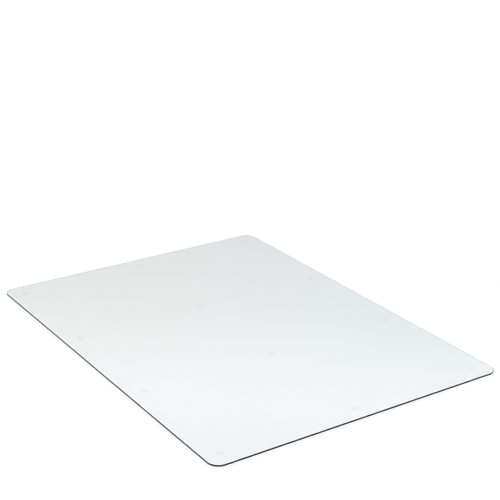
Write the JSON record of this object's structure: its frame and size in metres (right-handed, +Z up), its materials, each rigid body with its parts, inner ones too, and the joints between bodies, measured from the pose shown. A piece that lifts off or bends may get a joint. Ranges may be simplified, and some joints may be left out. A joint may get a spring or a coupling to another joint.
{
  "type": "chair mat",
  "caption": "Flat rectangular sheet of clear tempered glass with rounded corners and a polished edge, a floor mat for an office chair to roll on. The small clear anti-slip pads under it are a guess.",
  "frame": {"origin": "on the floor under the middle of the mat, in the plane of the pads' undersides", "axes": "+X along the mat's long side, +Y along its short side from front to back, +Z up"},
  "size_m": [1.2192, 0.9144, 0.0067],
  "materials": {
    "clear_glass": "clear soda-lime float glass, tempered, faces as made, edge and arrises ground and polished; faint grey-green, dark green through the edge",
    "clear_silicone": "clear soft silicone, moulded, satin underside",
    "clear_adhesive": "clear acrylic adhesive film"
  },
  "bodies": {
    "root": {"glass_sheet": "clear_glass", "pad_front_left": "clear_silicone", "pad_front_centre_left": "clear_silicone", "pad_front_centre_right": "clear_silicone", "pad_front_right": "clear_silicone", "pad_middle_left": "clear_silicone", "pad_middle_centre_left": "clear_silicone", "pad_middle_centre_right": "clear_silicone", "pad_middle_right": "clear_silicone", "pad_back_left": "clear_silicone", "pad_back_centre_left": "clear_silicone", "pad_back_centre_right": "clear_silicone", "pad_back_right": "clear_silicone", "pad_adhesive_discs": "clear_adhesive"}
  },
  "joints": []
}
